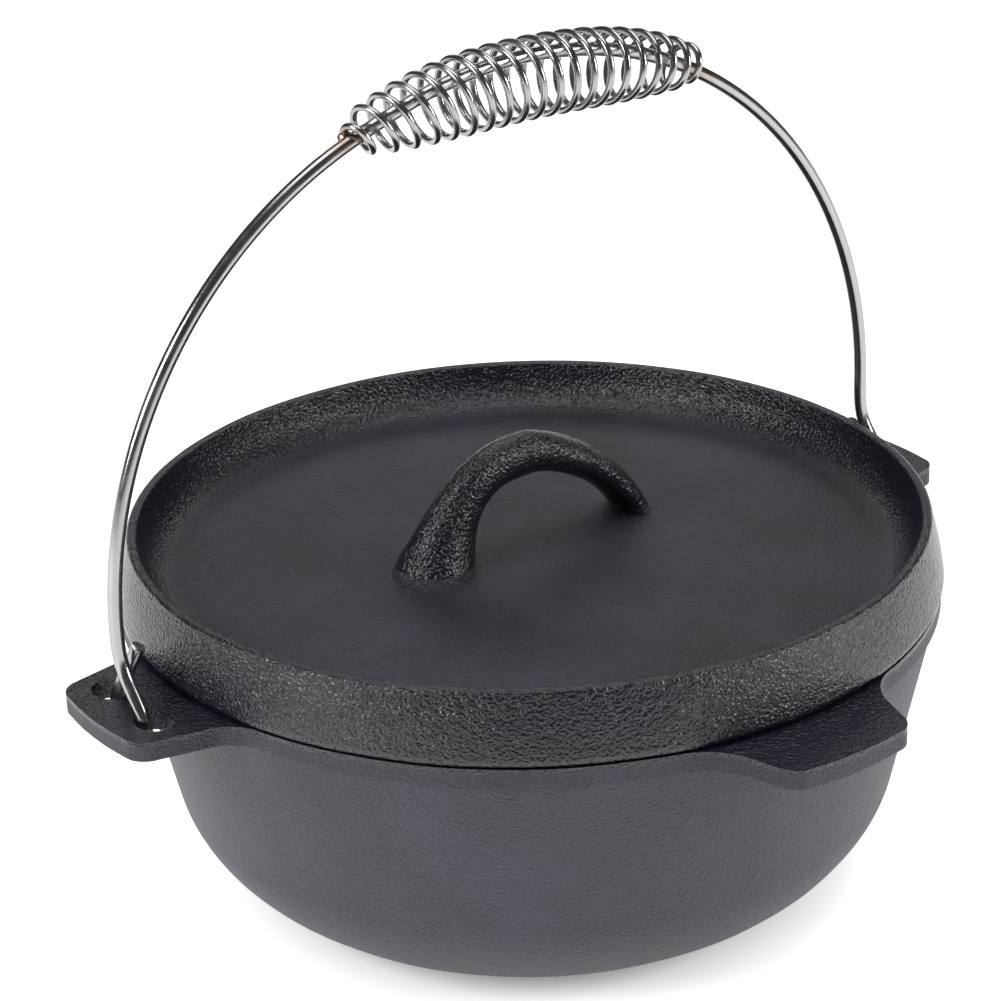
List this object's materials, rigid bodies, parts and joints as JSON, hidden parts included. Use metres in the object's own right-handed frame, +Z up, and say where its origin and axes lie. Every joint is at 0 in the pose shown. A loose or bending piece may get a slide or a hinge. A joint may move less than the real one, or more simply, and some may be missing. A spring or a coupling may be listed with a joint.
{
  "type": "dutch oven",
  "caption": "Round cast iron pot with flanged lid, horn-shaped lid handle, bail ears, helper tabs, and a swinging wire bail with a coiled wire grip.",
  "frame": {"origin": "centre of the pot's flat base, on the surface it stands on", "axes": "+Z up out of the pot's mouth; X runs from ear to ear, along the axis the bail swings about; the lid handle's thick foot is towards -X"},
  "size_m": [0.2632, 0.2566, 0.2254],
  "materials": {
    "pot_iron": "seasoned, fine sand-cast grain, matte",
    "lid_iron": "seasoned, fine sand-cast grain, satin on raised edges",
    "bail_rod": "polished stainless rod",
    "grip_wire": "polished stainless wire",
    "weld": "heat-tinted tack weld"
  },
  "bodies": {
    "pot": {"pot": "pot_iron"},
    "lid": {"lid": "lid_iron"},
    "bail": {"bail_wire": "bail_rod", "coil_grip": "grip_wire", "tack_weld_left": "weld", "tack_weld_right": "weld"}
  },
  "joints": [
    {"name": "lid_lift", "type": "slide", "parent": "pot", "child": "lid", "axis": [0, 0, 1], "range_m": [0, 0.05]},
    {"name": "bail_swing", "type": "hinge", "parent": "pot", "child": "bail", "pos_m": [0, 0, 0.07945], "axis": [1, 0, 0], "range_deg": [-60, 70]}
  ]
}
